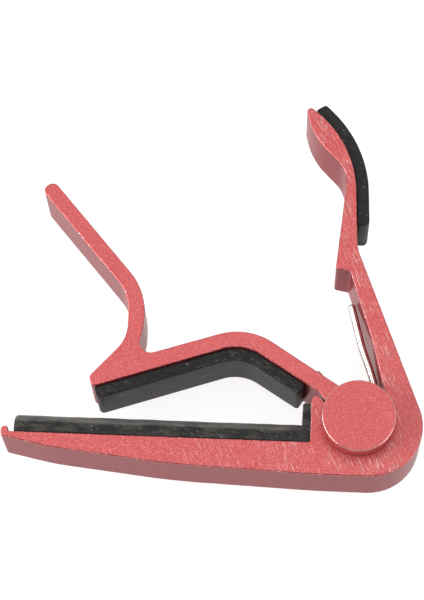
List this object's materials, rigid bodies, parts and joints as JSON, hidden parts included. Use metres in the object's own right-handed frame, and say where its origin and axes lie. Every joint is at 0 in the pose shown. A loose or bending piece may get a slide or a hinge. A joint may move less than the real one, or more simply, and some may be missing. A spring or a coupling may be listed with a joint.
{
  "type": "guitar capo",
  "caption": "Trigger-type guitar capo: aluminium frame and lever on a sprung hinge, with rubber pads on jaw, lever and handle.",
  "frame": {"origin": "centre of the rear cap's flat face, on the hinge axis", "axes": "+Z along the hinge axis from the rear cap to the front cap, +X along the string jaw from its tip to the hinge, +Y from the string jaw towards the lever and the handle"},
  "size_m": [0.0859, 0.0825, 0.0207],
  "materials": {
    "frame_paint": "red anodised over a fine-blasted face, satin",
    "lever_paint": "red anodised over a fine-blasted face, satin",
    "front_cap_paint": "red anodised over a fine-blasted face, satin",
    "rear_cap_paint": "red anodised over a fine-blasted face, satin",
    "pin_steel": "ground",
    "sleeve_nylon": "natural nylon",
    "spring_wire": "bright plated wire",
    "string_pad_rubber": "moulded, slightly scuffed",
    "neck_pad_rubber": "moulded, satin",
    "grip_pad_rubber": "moulded, satin"
  },
  "bodies": {
    "frame": {"frame": "frame_paint", "string_pad": "string_pad_rubber", "grip_pad": "grip_pad_rubber", "front_cap": "front_cap_paint", "rear_cap": "rear_cap_paint", "pivot_pin": "pin_steel", "spring_sleeve": "sleeve_nylon", "torsion_spring": "spring_wire"},
    "trigger": {"trigger_lever": "lever_paint", "neck_pad": "neck_pad_rubber"}
  },
  "joints": [
    {"name": "trigger_hinge", "type": "hinge", "parent": "frame", "child": "trigger", "pos_m": [0, 0, 0.01035], "axis": [0, 0, -1], "range_deg": [0, 30], "stiffness_Nm_per_rad": 0.8, "springref_deg": -57.3, "deforming": ["torsion_spring"]}
  ]
}
